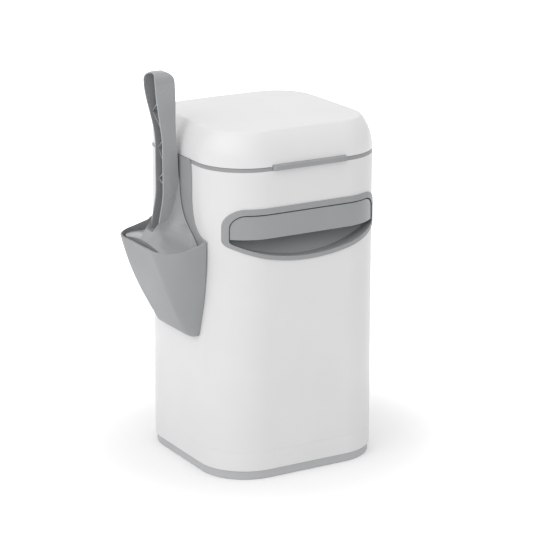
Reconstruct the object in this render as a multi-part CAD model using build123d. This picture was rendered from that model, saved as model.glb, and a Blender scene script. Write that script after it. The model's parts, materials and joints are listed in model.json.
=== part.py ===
from build123d import *
import os

# A litter disposal pail. Millimetres, +Z up. The origin is the centre of the underside,
# the pull handle faces -Y and the scoop hangs on the -X side.

# ---- Driving dimensions ----
# Outline of the body, seen from above
width = 229.5
depth = 225.0
corner_r = 61.2
wall = 2.5

# Heights of the stacked bands
foot_h = 11.5
band_h = 23.25
shell_h = 345.25
rim_h = 4.4
lid_gap = 0.6
edge_break = 0.4          # chamfer on the edges that meet at a seam
slide_gap = 0.4           # clearance of sliding and dropped-in pieces
seal_gap = 0.3            # soft seals stand this far from what they press on

# Foot and base tray
foot_inset = 2.0
foot_edge_r = 1.5
base_floor = 2.5
spigot_h = 9.0
spigot_gap = 0.8
spigot_wall = 2.2
spigot_lap = 4.0          # how far the spigot's root lies below the seam
rib_t = 2.0
boss_r = 6.0
base_screw_x = 62.0
base_screw_y = 60.0

# Screws
screw_head_r = 3.5
screw_head_h = 2.4
screw_r = 1.6
base_screw_l = 14.0
deck_screw_l = 10.0
arm_screw_l = 5.5
head_gap = 0.6            # room round a screw head in its recess

# Hinges at the back
knuckle_r = 4.5
pin_r = 2.0
pin_gap = 0.05
hinge_gap = 0.6           # between a barrel and the wall behind it
knuckle_gap = 0.3
base_hinge_w = 110.0
lid_hinge_w = 90.0
knuckle_count = 5

# Top deck: rim flange and refill well
deck_inset = 0.3
flange_w = 13.7
well_wall = 2.0
well_depth = 53.4
deck_floor = 2.5
skirt_h = 14.0
skirt_t = 2.0

# Throat through the deck and the gate
throat_w = 116.0
throat_d = 110.0
throat_r = 30.0
throat_y = -5.0           # centre of the throat, front to back
collar_t = 2.0

# Refill cartridge
cartridge_gap = 2.0
cartridge_h = 39.0
cartridge_t = 1.6
cartridge_bore_gap = 2.0  # bore of the ring, inward from the throat
cover_h = 3.0
film_h = 31.0

# Gate frame under the deck
frame_half_w = 84.0
frame_front_y = -80.0
frame_back_y = 92.0
frame_t = 3.0
frame_post_h = 9.0
deck_boss_h = 3.0
rail_t = 2.5
rail_h = 13.0
rail_lip_w = 8.0
post_r = 5.0
post_x = 76.0
post_front_y = -66.0
post_back_y = 80.0

# Gate plate and its jaw
gate_t = 3.0
runner_w = 6.5
gate_front_y = -62.0
gate_rib_h = 2.5
seal_d = 3.5
jaw_d = 12.0
ear_t = 4.0
gate_travel = 75.0

# Return springs
spring_r = 3.2
spring_wire_r = 0.45
spring_turns = 11
spring_x = 64.5
spring_drop = 6.0         # axis below the underside of the gate plate
spring_front_y = 4.0
anchor_r = 2.0

# Pull handle: surround, bar and finger recess, in front view
bezel_half_w = 104.0
bezel_top_z = 336.0
bezel_low_z = 267.7
bezel_sag = 24.4          # drop of the lower edge from its ends to the middle
bezel_top_r = 22.0
bezel_end_r = 9.0
bezel_rim = 5.3
bezel_top_rim = 7.0
bezel_proud = 1.5
bezel_skirt = 6.0
bezel_cover = 2.6         # how far the surround laps over the shell
bar_gap = 0.8
bar_h = 28.8
bar_proud = 0.8
bar_t = 2.5
bar_back_y = -88.0
bar_lip_d = 6.0
recess_t = 2.2
recess_low_y = -101.0     # back of the recess at its lowest point
recess_high_y = -81.0     # back of the recess level with the bar's underside
arm_w = 12.0
arm_t = 3.0
arm_x = 60.0
arm_lap = 22.0

# Film cutter under the gate frame
cutter_w = 34.0
cutter_d = 14.0
cutter_h = 13.0
cutter_y = 77.0
cutter_slot = 4.0
blade_t = 0.4
blade_w = 14.0

# Lid
lid_h = 41.5
lid_round_r = 61.0
lid_crown_r = 4200.0
lid_crease_r = 4.5
liner_gap = 0.1           # between the liner and the lid's wall
liner_w = 14.0
liner_t = 2.5
liner_lift = 0.6
liner_upstand_h = 6.0
lid_seal_w = 5.0
tab_half_w = 50.0
tab_proud = 5.2
tab_drop = 4.0            # how far the tab hangs below the lid's edge
tab_h = 7.0
tab_end_r = 4.0

# Scoop holder on the left side
plate_t = 2.25
hook_half_w = 33.0
hook_t = 1.4
hook_drop = 8.0
pouch_low_z = 171.0
pouch_rim_z = 286.0       # rim at the outer wall
pouch_rim_rise = 7.0      # the rim climbs towards the body
pouch_low_depth = 9.25
pouch_rim_depth = 56.25
pouch_low_half = 50.0
pouch_rim_half = 69.0
pouch_bulge = 5.2
pouch_low_r = 5.0
pouch_rim_r = 17.0
pouch_t = 2.4
pouch_low_corner_r = 9.0

# Scoop
scoop_gap = 1.6           # between the scoop's back and the holder's plate
scoop_t = 2.0
scoop_side_gap = 7.5
scoop_front_gap = 2.6
scoop_tip_gap = 0.3
scoop_tip_r = 16.0
scoop_travel = 125.0
handle_top_z = 487.0
handle_half_w = 12.0
handle_waist = 9.5
handle_depth = 22.5
handle_lean = 6.4         # how far the grip's top leans out from the body
handle_loop_r = 9.0
shoulder_z = 285.0
shoulder_half = 57.0
neck_z = 351.0
rail_foot_z = 296.0
roof_corner_r = 10.0
roof_lap = 6.0            # how far the end wall runs in under the rails
rail_spread = 6.0         # how far the rails' feet stand out beyond the grip
rib_v_t = 1.6
rib_v_recess = 1.5
v_ribs = ((449.0, 440.0, 421.0), (410.0, 399.0, 383.0), (368.0, 359.0, 354.0))
slot_count = 7
slot_w = 5.0
slot_pitch = 12.0
slot_low_z = 196.0
slot_high_z = 262.0

# ---- Heights and places worked out from them ----
base_screw_seat = screw_head_h + 1.0
seam_z = foot_h + band_h
shell_top_z = seam_z + shell_h
deck_top_z = shell_top_z + rim_h
lid_z = deck_top_z + lid_gap
lid_top_z = lid_z + lid_h
well_floor_z = deck_top_z - well_depth + deck_floor
deck_under_z = deck_top_z - well_depth
frame_top_z = deck_under_z - frame_post_h
post_top_z = deck_under_z - deck_boss_h
deck_screw_seat = well_floor_z - screw_head_h - 0.3
frame_under_z = frame_top_z - frame_t
rail_low_z = frame_under_z - rail_h
gate_top_z = frame_under_z - slide_gap - gate_rib_h - 1.0
gate_low_z = gate_top_z - gate_t
throat_back_y = throat_y + throat_d / 2
spring_z = gate_low_z - spring_drop
hinge_y = depth / 2 + hinge_gap + knuckle_r
base_hinge_z = seam_z
lid_hinge_z = deck_top_z + lid_gap / 2
side_x = -width / 2       # outer face of the left side
hook_reach = deck_inset + flange_w + hook_t + seal_gap
scoop_back_x = side_x - plate_t - scoop_gap
rail_x = scoop_back_x - handle_depth - rail_spread
pan_top_z = shoulder_z - 10.0
pan_rim_x = side_x - pouch_rim_depth + pouch_t + scoop_front_gap + pouch_bulge / 2
bar_top_z = bezel_top_z - bezel_top_rim - bar_gap
bar_low_z = bar_top_z - bar_h
far = 400.0               # longer than anything that is cut


# ---- Shared shapes ----
def block(inset, low, high):
    """The body's rounded-square outline, drawn in by inset, from one height to another."""
    face = RectangleRounded(width - 2 * inset, depth - 2 * inset, corner_r - inset)
    return Pos(0, 0, low) * extrude(face, high - low)


def ring(outer_inset, inner_inset, low, high):
    """A wall that follows the body's outline."""
    return block(outer_inset, low, high) - block(inner_inset, low, high)


def box(x, y, z):
    """An upright box from (low, high) pairs."""
    size = (x[1] - x[0], y[1] - y[0], z[1] - z[0])
    return Pos((x[0] + x[1]) / 2, (y[0] + y[1]) / 2, (z[0] + z[1]) / 2) * Box(*size)


def throat(grow, low, high):
    """The passage for waste, grown outward, from one height to another."""
    face = RectangleRounded(throat_w + 2 * grow, throat_d + 2 * grow, throat_r + grow)
    return Pos(0, throat_y, low) * extrude(face, high - low)


def post(x, y, radius, low, high):
    """An upright round boss, post or hole."""
    return Pos(x, y, (low + high) / 2) * Cylinder(radius, high - low)


def axle(radius, x_from, x_to, y, z):
    """A round bar or bore along X."""
    middle = Pos((x_from + x_to) / 2, y, z)
    return middle * Rot(0, 90, 0) * Cylinder(radius, x_to - x_from)


def screw(x, y, seat_z, length, upward):
    """A pan-head screw whose head bears at seat_z, with its shank pointing up or down."""
    turn = Pos(x, y, seat_z) * (Rot(0, 0, 0) if upward else Rot(180, 0, 0))
    head = Pos(0, 0, -screw_head_h / 2) * Cylinder(screw_head_r, screw_head_h)
    head = chamfer(head.edges().group_by(Axis.Z)[0], 0.6)
    shank = Pos(0, 0, length / 2) * Cylinder(screw_r, length)
    return turn * (head + shank)


def knuckle_span(length, index):
    """Where one of the alternating hinge knuckles lies along X."""
    pitch = length / knuckle_count
    left = -length / 2 + index * pitch
    return left + knuckle_gap / 2, left + pitch - knuckle_gap / 2


def knuckles(length, height, indexes, below):
    """Hinge barrels on the back wall, each on an arm that stays on its own side of the seam."""
    reach = depth / 2 - 1.0
    arm_z = (height - knuckle_r, height - 0.2) if below else (height + 0.2, height + knuckle_r)
    parts = []
    for index in indexes:
        x_from, x_to = knuckle_span(length, index)
        arm = box((x_from, x_to), (reach, hinge_y), arm_z)
        parts.append(axle(knuckle_r, x_from, x_to, hinge_y, height) + arm)
    bore = axle(pin_r + pin_gap, -length / 2, length / 2, hinge_y, height)
    return [part - bore for part in parts]


def front_prism(face, near, far_back):
    """A front-view face carried from y = near back to y = far_back."""
    return extrude(Plane.XZ.offset(-near) * face, -(far_back - near))


def side_prism(face, half_w):
    """A side-view face, drawn as (y, z), carried across both sides of the middle."""
    return extrude(Plane.YZ * face, half_w, both=True)


# ---- Base ----
def base_screw_places():
    return [(x, y) for x in (-base_screw_x, base_screw_x) for y in (-base_screw_y, base_screw_y)]


def make_base_foot():
    """Grey floor plate with a flat underside, an upright edge, crossing ribs and screw bosses."""
    outer = block(foot_inset, 0, foot_h)
    outer = fillet(outer.edges().group_by(Axis.Z)[0], foot_edge_r)
    foot = outer - block(foot_inset + wall, base_floor, foot_h)
    inside = block(foot_inset + wall / 2, base_floor / 2, foot_h)
    for x in (-base_screw_x, 0, base_screw_x):
        foot += box((x - rib_t / 2, x + rib_t / 2), (-far, far), (base_floor / 2, foot_h)) & inside
    for y in (-base_screw_y, base_screw_y):
        foot += box((-far, far), (y - rib_t / 2, y + rib_t / 2), (base_floor / 2, foot_h)) & inside
    for x, y in base_screw_places():
        foot += post(x, y, boss_r, base_floor / 2, foot_h)
    for x, y in base_screw_places():
        foot -= post(x, y, screw_r + slide_gap, 0, foot_h)
        foot -= post(x, y, screw_head_r + head_gap, 0, base_screw_seat)
    return foot


def make_base_tray():
    """White lower band with a floor, a spigot that locates the body and its half of the hinge."""
    tray = block(0, foot_h, seam_z)
    tray = chamfer(tray.edges().group_by(Axis.Z)[-1], edge_break)
    tray -= block(wall, foot_h + base_floor, seam_z)
    shelf_z = seam_z - spigot_lap
    spigot_out = wall + spigot_gap
    tray += ring(wall / 2, spigot_out + spigot_wall, shelf_z, shelf_z + rib_t)
    tray += ring(spigot_out, spigot_out + spigot_wall, shelf_z, seam_z + spigot_h)
    for x, y in base_screw_places():
        tray += post(x, y, boss_r, foot_h + base_floor / 2, foot_h + base_screw_l)
    for x, y in base_screw_places():
        tray -= post(x, y, screw_r, foot_h, foot_h + base_screw_l - 2.0)
    for part in knuckles(base_hinge_w, base_hinge_z, (0, 2, 4), below=True):
        tray += part
    return tray


def make_base_screws():
    seat = base_screw_seat
    places = base_screw_places()
    return Compound(children=[screw(x, y, seat, base_screw_l, upward=True) for x, y in places])


def make_hinge_pin(length, height):
    """A plain steel pin with broken ends."""
    pin = axle(pin_r, -length / 2, length / 2, hinge_y, height)
    return chamfer(pin.edges().filter_by(GeomType.CIRCLE), 0.4)


# ---- Pull handle outlines, in front view ----
def handle_face(half_w, top_z, low_z, sag, top_r, end_r):
    """Straight top, upright ends and a lower edge that sags in one arc."""
    end_z = low_z + sag
    top = Polyline((half_w, end_z), (half_w, top_z), (-half_w, top_z), (-half_w, end_z))
    smile = ThreePointArc((-half_w, end_z), (0, low_z), (half_w, end_z))
    face = make_face(top.edges() + smile.edges())
    corners = face.vertices().group_by(Axis.Y)
    face = fillet(corners[-1], top_r)
    ends = [v for v in face.vertices() if abs(v.Y - end_z) < 0.01]
    return fillet(ends, end_r)


def bezel_face():
    return handle_face(
        bezel_half_w, bezel_top_z, bezel_low_z, bezel_sag, bezel_top_r, bezel_end_r
    )


def opening_face(grow=0.0):
    """The opening inside the surround, grown outward."""
    half_w = bezel_half_w - bezel_rim + grow
    top_z = bezel_top_z - bezel_top_rim + grow
    low_z = bezel_low_z + bezel_rim - grow
    end_r = bezel_end_r - bezel_rim + 1.5 + grow
    sag = bezel_sag * (half_w / bezel_half_w) ** 2
    return handle_face(half_w, top_z, low_z, sag, bezel_top_r - bezel_rim + grow, end_r)


def recess_back(shift):
    """Side view of the room in front of the recess's sloping back, moved back by shift."""
    low_z = bezel_low_z + bezel_rim
    slope = (recess_high_y - recess_low_y) / (bar_low_z - low_z)
    foot_z = bezel_low_z - 30.0
    foot_y = recess_low_y - slope * (low_z - foot_z)
    points = [
        (-depth, foot_z),
        (foot_y + shift, foot_z),
        (recess_high_y + shift, bar_low_z),
        (recess_high_y + shift, bezel_top_z + 20.0),
        (-depth, bezel_top_z + 20.0),
    ]
    return side_prism(make_face(Polyline(*points, close=True)), width)


# ---- Body ----
def make_outer_shell():
    """Tall white sleeve with the handle's window and its half of the base hinge."""
    shell = block(0, seam_z, shell_top_z)
    shell = chamfer(shell.edges().group_by(Axis.Z)[0], edge_break)
    shell -= block(wall, seam_z, shell_top_z)
    window = offset(bezel_face(), -bezel_cover)
    shell -= front_prism(window, -depth, frame_front_y + 5.0)
    for part in knuckles(base_hinge_w, base_hinge_z, (1, 3), below=False):
        shell += part
    return shell


def hook_notch(clear, low, high):
    """Room in the deck's rim for the holder's hook."""
    y = (-hook_half_w - clear, hook_half_w + clear)
    return box((side_x - 1.0, side_x + deck_inset + flange_w), y, (low, high))


def make_top_deck():
    """Grey rim and the well that holds the refill, with a throat through its floor."""
    well_in = deck_inset + flange_w
    well_out = well_in - well_wall
    deck = ring(deck_inset, well_in, shell_top_z, deck_top_z)
    deck += ring(well_out, well_in, deck_under_z, deck_top_z)
    deck += block(well_out, deck_under_z, well_floor_z)
    skirt_out = wall + slide_gap
    deck += ring(skirt_out, skirt_out + skirt_t, shell_top_z - skirt_h, shell_top_z + rim_h / 2)
    deck += throat(collar_t, frame_top_z, well_floor_z)
    for x, y in frame_posts():
        deck += post(x, y, boss_r, post_top_z, well_floor_z)
        deck -= post(x, y, screw_r + slide_gap, post_top_z, well_floor_z)
        deck -= post(x, y, screw_head_r + head_gap, deck_screw_seat, well_floor_z)
    deck -= throat(0, frame_top_z, well_floor_z)
    deck -= hook_notch(slide_gap, deck_top_z - hook_t, deck_top_z)
    for part in knuckles(lid_hinge_w, lid_hinge_z, (0, 2, 4), below=True):
        deck += part
    return deck


def make_refill_cartridge():
    """Ring-shaped trough that holds the film."""
    out = deck_inset + flange_w + cartridge_gap
    low, high = well_floor_z, well_floor_z + cartridge_h
    bore = -cartridge_bore_gap
    cup = block(out, low, high) - throat(bore, low, high)
    room = block(out + cartridge_t, low + cartridge_t, high) - throat(bore + cartridge_t, low, high)
    return cup - room


def make_film_pack():
    """Folded film, packed in the trough."""
    out = deck_inset + flange_w + cartridge_gap + cartridge_t + seal_gap
    grow = cartridge_t - cartridge_bore_gap + seal_gap
    low = well_floor_z + cartridge_t
    return block(out, low, low + film_h) - throat(grow, low, low + film_h)


def make_cartridge_cover():
    """Flat ring that keeps the film in, with a rounded inner edge for it to run over."""
    low = well_floor_z + cartridge_h
    grow = cartridge_t - cartridge_bore_gap + 4.0
    cover = block(deck_inset + flange_w + cartridge_gap, low, low + cover_h)
    cover -= throat(grow, low, low + cover_h)
    return cover


def make_gate_frame():
    """Flat ring on four posts, with a C-shaped rail down each side for the gate."""
    x, y = (-frame_half_w, frame_half_w), (frame_front_y, frame_back_y)
    frame = box(x, y, (frame_under_z, frame_top_z)) & block(wall + 2.0, frame_under_z, frame_top_z)
    frame -= throat(0, frame_under_z, frame_top_z)
    rail_in = gate_half_w() + slide_gap
    for side in (-1, 1):
        wall_x = sorted((side * rail_in, side * (rail_in + rail_t)))
        lip_x = sorted((side * (rail_in + rail_t - rail_lip_w), side * (rail_in + rail_t)))
        frame += box(wall_x, (frame_front_y, throat_back_y), (rail_low_z, frame_under_z))
        frame += box(lip_x, (frame_front_y, throat_back_y), (rail_low_z, rail_low_z + rail_t))
    for px, py in frame_posts():
        frame += post(px, py, post_r, frame_top_z, post_top_z)
        frame -= post(px, py, screw_r, deck_screw_seat - deck_screw_l, post_top_z)
    return frame


def frame_posts():
    return [(x, y) for x in (-post_x, post_x) for y in (post_front_y, post_back_y)]


def gate_half_w():
    """Outer half width of the gate over its runners."""
    return post_x + 2.0


def make_deck_screws():
    places = frame_posts()
    parts = [screw(x, y, deck_screw_seat, deck_screw_l, upward=False) for x, y in places]
    return Compound(children=parts)


def jaw_front_y():
    """Front of the fixed jaw's rubber, where the gate's rubber meets it."""
    return throat_back_y + seal_gap


def make_fixed_jaw():
    """Bar across the back of the throat, with an ear each side for a spring."""
    front = jaw_front_y() + seal_d
    half = gate_half_w() - runner_w - slide_gap
    jaw = box((-half, half), (front, front + jaw_d), (gate_low_z - 1.0, frame_under_z))
    for side in (-1, 1):
        x = sorted((side * (spring_x - spring_r), side * (spring_x + spring_r)))
        y = (front + jaw_d - ear_t, front + jaw_d)
        jaw += box(x, y, (spring_z - spring_r, gate_low_z))
    return jaw


def make_fixed_jaw_seal():
    """Soft strip along the front of the fixed jaw."""
    front = jaw_front_y()
    half = gate_half_w() - runner_w - slide_gap
    return box((-half, half), (front, front + seal_d), (gate_low_z - 1.0, frame_under_z - 0.5))


def make_gate_plate():
    """Sliding floor of the throat: a ribbed plate with a runner down each side."""
    back = throat_back_y - seal_d
    half = gate_half_w() - slide_gap
    inner = half - runner_w
    plate = box((-inner - 1, inner + 1), (gate_front_y, back), (gate_low_z, gate_top_z))
    for side in (-1, 1):
        x = sorted((side * inner, side * half))
        z = (rail_low_z + rail_t + slide_gap, frame_under_z - slide_gap)
        plate += box(x, (gate_front_y, back), z)
    for x in (-30.0, 0.0, 30.0):
        plate += box((x - 1, x + 1), (gate_front_y, back), (gate_low_z - gate_rib_h, gate_low_z))
    for side in (-1, 1):
        x = side * spring_x
        plate += post(x, spring_front_y, anchor_r, spring_z - spring_r, gate_low_z)
    for x, y in arm_screw_places()[2:]:
        plate -= post(x, y, screw_r, gate_low_z, gate_top_z)
    return plate


def make_gate_seal():
    """Soft lip along the back of the gate plate."""
    back = throat_back_y
    half = gate_half_w() - slide_gap - runner_w
    return box((-half, half), (back - seal_d, back), (gate_low_z - 1.0, gate_top_z + 1.0))


def make_spring(side):
    """Close-wound extension spring between the gate and the fixed jaw."""
    start = spring_front_y + anchor_r + seal_gap + spring_wire_r
    end = jaw_front_y() + seal_d + jaw_d - ear_t - seal_gap - spring_wire_r
    length = end - start
    turn_r = spring_r - spring_wire_r
    coil = Helix(pitch=length / spring_turns, height=length, radius=turn_r)
    path = Plane((side * spring_x, start, spring_z), x_dir=(1, 0, 0), z_dir=(0, 1, 0)) * coil
    wire = Plane(path @ 0, z_dir=path % 0) * Circle(spring_wire_r)
    return sweep(wire, path=path, is_frenet=True)


def make_handle_bezel():
    """Surround that laps over the shell and the finger recess behind it, in one moulding."""
    front, back = -depth, frame_front_y
    lap = front_prism(bezel_face(), front, back)
    lap = lap & (block(-bezel_proud, 0, far) - block(0, 0, far))
    neck = front_prism(offset(bezel_face(), -bezel_cover - slide_gap), front, back)
    neck = neck & (block(-bezel_proud, 0, far) - block(bezel_skirt, 0, far))
    cup = front_prism(opening_face(recess_t), front, 0) & recess_back(recess_t)
    cup = cup & block(0.0, 0, bar_low_z)
    room = front_prism(opening_face(), front, 0) & recess_back(0)
    passage = front_prism(opening_face(), front, back) & block(-far / 8, bar_low_z, far)
    return lap + neck + cup - room - passage


def bar_shape(shrink, front_inset, low_cut):
    """The pull bar's solid form, drawn in from its outside."""
    face = opening_face(-bar_gap - shrink)
    return front_prism(face, -depth, bar_back_y) & block(front_inset, low_cut, far)


def make_pull_bar():
    """Hollow bar that follows the body round both front corners, open behind and below."""
    bar = bar_shape(0, -bar_proud, bar_low_z)
    hollow = bar_shape(bar_t, bar_t - bar_proud, bar_low_z + bar_t)
    grip = box((-arm_x + arm_w, arm_x - arm_w), (-depth / 2 + bar_lip_d, 0), (bar_low_z, bar_low_z + bar_t))
    bar = bar - hollow - grip
    for side in (-1, 1):
        x = sorted((side * (arm_x - arm_w / 2 - bar_t), side * (arm_x + arm_w / 2 + bar_t)))
        shelf = box(x, (-far, bar_back_y), (gate_low_z, gate_top_z))
        bar += shelf & bar_shape(bar_t / 2, 0, bar_low_z)
    for x, y in arm_screw_places()[:2]:
        bar -= post(x, y, screw_r, gate_low_z, gate_top_z)
    return bar


def make_pull_arm(side):
    """Flat link with round ends, from the bar's shelf to the gate plate."""
    front = -depth / 2 + bar_t + slide_gap * 4
    back = gate_front_y + arm_lap
    link = SlotOverall(back - front, arm_w, rotation=90)
    middle = Pos(side * arm_x, (front + back) / 2, gate_top_z)
    arm = middle * extrude(link, arm_t)
    for x, y in arm_screw_places():
        arm -= post(x, y, screw_r, gate_top_z, gate_top_z + arm_t)
    return arm


def arm_screw_places():
    """The two screws in the bar's shelves, then the two in the gate plate."""
    on_bar = bar_back_y - arm_w / 2
    on_gate = gate_front_y + arm_lap / 2
    return [(side * arm_x, y) for y in (on_bar, on_gate) for side in (-1, 1)]


def make_arm_screws():
    places = arm_screw_places()
    return Compound(children=[screw(x, y, gate_low_z, arm_screw_l, upward=True) for x, y in places])


def cutter_middle_z():
    """Height of the slot that film is drawn through."""
    return frame_under_z - cutter_h / 2


def make_cutter_guard():
    """Small grey block under the back of the gate frame, with a slot that leads film to a blade."""
    y = (cutter_y - cutter_d / 2, cutter_y + cutter_d / 2)
    guard = box((-cutter_w / 2, cutter_w / 2), y, (frame_under_z - cutter_h, frame_under_z))
    guard = fillet(guard.edges().filter_by(Axis.Z), 3.0)
    middle = cutter_middle_z()
    mouth = Polyline(
        (0, middle - cutter_slot / 4),
        (cutter_w, middle - cutter_slot),
        (cutter_w, middle + cutter_slot),
        (0, middle + cutter_slot / 4),
        close=True,
    )
    guard -= front_prism(make_face(mouth), y[0] - 1.0, y[1] + 1.0)
    return guard - blade_pocket(seal_gap)


def blade_pocket(clear):
    """The blade's flat form, upright across the slot, with the clearance round it."""
    middle = cutter_middle_z()
    x = (-blade_w / 2 - clear, blade_w / 2 + clear)
    z = (middle - blade_w / 4 - clear, middle + blade_w / 4 + clear)
    return box(x, (cutter_y - blade_t / 2 - clear / 3, cutter_y + blade_t / 2 + clear / 3), z)


def make_cutter_blade():
    """Thin steel blade held across the guard's slot."""
    return blade_pocket(0)


# ---- Lid ----
def dome(inset, crown_drop):
    """The lid's solid form: sides that curve in over a quarter circle, cut by a nearly flat crown."""
    radius = lid_round_r - inset
    tall = block(inset, lid_z - far / 8, lid_z + radius)
    tall = fillet(tall.edges().group_by(Axis.Z)[-1], radius - 0.2)
    crown = Pos(0, 0, lid_top_z - crown_drop - lid_crown_r) * Sphere(lid_crown_r)
    return tall & block(inset, lid_z, far * 2) & crown


def tab_opening(clear):
    """The part of the lid's front edge that the tab passes through, with clearance round it."""
    x = (-tab_half_w - clear, tab_half_w + clear)
    return box(x, (-far, -depth / 2 + liner_w), (lid_z - clear, lid_z + tab_h - tab_drop + clear))


def make_lid_shell():
    """White domed lid, open below, with a notch for the tab and its half of the hinge."""
    outer = dome(0, 0)
    crease = outer.faces().sort_by(Axis.Z)[-1].edges()
    outer = fillet(crease, lid_crease_r)
    lid = outer - dome(wall, wall) - tab_opening(seal_gap)
    for part in knuckles(lid_hinge_w, lid_hinge_z, (1, 3), below=False):
        lid += part
    return lid


def make_lid_liner():
    """Grey frame inside the lid's edge, with a groove for the seal and the thumb tab in front."""
    low = lid_z + liner_lift
    outer = wall + liner_gap
    liner = ring(outer, outer + liner_w, low, low + liner_t)
    inner = outer + liner_w
    liner += ring(inner - liner_t, inner, low, low + liner_upstand_h)
    groove_in = outer + (liner_w - lid_seal_w) / 2
    liner -= ring(groove_in, groove_in + lid_seal_w, low, low + liner_t / 2)
    front_y = -depth / 2 - tab_proud
    tab_top = lid_z + tab_h - tab_drop
    liner += box((-tab_half_w, tab_half_w), (-depth / 2, -depth / 2 + outer + 1.0), (low, tab_top))
    lip = box((-tab_half_w, tab_half_w), (front_y, -depth / 2), (low, tab_top))
    lip += box((-tab_half_w, tab_half_w), (front_y, -depth / 2 - slide_gap), (tab_top - tab_h, low))
    ends = lip.edges().filter_by(Axis.Z).group_by(Axis.Y)[0]
    lip = fillet(ends, tab_end_r)
    return liner + lip


def make_lid_seal():
    """Soft ring in the liner's groove, just clear of the rim."""
    low = lid_z + liner_lift
    groove_in = wall + liner_gap + (liner_w - lid_seal_w) / 2
    return ring(groove_in, groove_in + lid_seal_w, deck_top_z + seal_gap, low + liner_t / 2)


# ---- Scoop holder ----
def pouch_size(z):
    """(depth from the body, half width, corner radius) of the pouch at one height."""
    t = (z - pouch_low_z) / (pouch_rim_z - pouch_low_z)
    out = pouch_low_depth + (pouch_rim_depth - pouch_low_depth) * t
    out += 4 * pouch_bulge * t * (1 - t)
    half = pouch_low_half + (pouch_rim_half - pouch_low_half) * (1 - (1 - t) ** 2)
    return out, half, pouch_low_r + (pouch_rim_r - pouch_low_r) * t


def level_section(z, near_x, far_x, half, radius):
    """A level outline: square towards the body, with round outer corners."""
    corners = [(near_x, -half), (far_x, -half), (far_x, half), (near_x, half)]
    face = make_face(Polyline(*corners, close=True))
    face = fillet(face.vertices().group_by(Axis.X)[0], radius)
    return Pos(0, 0, z) * face


def pouch_form(inset, low, high, count=5):
    """The pouch's form drawn in by inset, lofted through level outlines."""
    sections = []
    near = side_x if inset == 0 else side_x - plate_t
    for i in range(count):
        z = low + (high - low) * i / (count - 1)
        out, half, radius = pouch_size(z)
        sections.append(level_section(z, near, side_x - out + inset, half - inset, radius - inset))
    return loft(sections)


def below_rim():
    """Everything under the pouch's sloping rim."""
    rim_high = pouch_rim_z + pouch_rim_rise
    points = [
        (side_x, rim_high),
        (side_x - pouch_rim_depth, pouch_rim_z),
        (side_x - far / 4, pouch_rim_z - pouch_rim_rise / 2),
        (side_x - far / 4, 0),
        (side_x, 0),
    ]
    return front_prism(make_face(Polyline(*points, close=True)), -far / 2, far / 2)


def round_foot(half, low, radius):
    """Room above a foot with round corners and spreading sides, carried through in X."""
    high, spread = low + far / 2, far / 4
    corners = [(-half, low), (half, low), (half + spread, high), (-half - spread, high)]
    face = make_face(Polyline(*corners, close=True))
    face = fillet(face.vertices().group_by(Axis.Y)[0], radius)
    return extrude(Plane.YZ * face, far, both=True)


def make_scoop_holder():
    """Tapering pouch on a plate that flares up to a strip, with a hook over the rim."""
    top = pouch_rim_z + pouch_rim_rise + 2.0
    pouch = pouch_form(0, pouch_low_z, top)
    pouch = pouch & round_foot(pouch_low_half, pouch_low_z, pouch_low_corner_r)
    floor_z = pouch_low_z + pouch_t
    room = pouch_form(pouch_t, floor_z, top)
    room = room & round_foot(pouch_low_half - pouch_t, floor_z, pouch_low_corner_r - pouch_t)
    holder = (pouch - room) & below_rim()
    edge = [
        (pouch_rim_half - 0.6, pouch_rim_z + pouch_rim_rise),
        (pouch_rim_half - 16.0, pouch_rim_z + 13.0),
        (pouch_rim_half - 24.5, pouch_rim_z + 21.0),
        (hook_half_w + 5.4, pouch_rim_z + 34.0),
        (hook_half_w + 2.8, pouch_rim_z + 54.0),
        (hook_half_w, deck_top_z),
    ]
    right = Spline(*edge)
    left = Spline(*[(-y, z) for y, z in reversed(edge)])
    top_line = Line(right @ 1, left @ 0)
    foot = Polyline(left @ 1, (left @ 1) - (0, 8), (right @ 0) - (0, 8), right @ 0)
    strip = make_face(right.edges() + top_line.edges() + left.edges() + foot.edges())
    holder += Pos(side_x, 0, 0) * extrude(Plane.YZ * strip, -plate_t)
    y = (-hook_half_w, hook_half_w)
    holder += box((side_x - plate_t, side_x + hook_reach), y, (deck_top_z - hook_t, deck_top_z))
    lip_x = (side_x + hook_reach - hook_t, side_x + hook_reach)
    return holder + box(lip_x, y, (deck_top_z - hook_drop, deck_top_z))


# ---- Scoop ----
def pan_form(inset, low, high, count=5):
    """The pan's form inside the pouch; drawn in by inset it is open on its outer side."""
    sections = []
    for i in range(count):
        z = low + (high - low) * i / (count - 1)
        out, half, radius = pouch_size(z)
        out -= pouch_t + scoop_front_gap
        half -= pouch_t + scoop_side_gap
        reach = side_x - out - (far / 40 if inset else 0)
        near = scoop_back_x - inset
        corner = min(radius - pouch_t, 0.6 * (near - reach))
        sections.append(level_section(z, near, reach, half - inset, corner))
    return loft(sections)


def flare_face(x, half, low, curve):
    """Upright face across the scoop: a flat foot and a flared top that follows the curve."""
    right = Bezier(*curve)
    left = Bezier(*[(-y, z) for y, z in reversed(curve)])
    lines = [Line((half, low), right @ 0)]
    if (right @ 1).X > 0.01:
        lines.append(Line(right @ 1, left @ 0))
    lines.append(Line(left @ 1, (-half, low)))
    lines.append(Line((-half, low), (half, low)))
    edges = right.edges() + left.edges()
    for line in lines:
        edges += line.edges()
    return Pos(x, 0, 0) * (Plane.YZ * make_face(edges))


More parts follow.
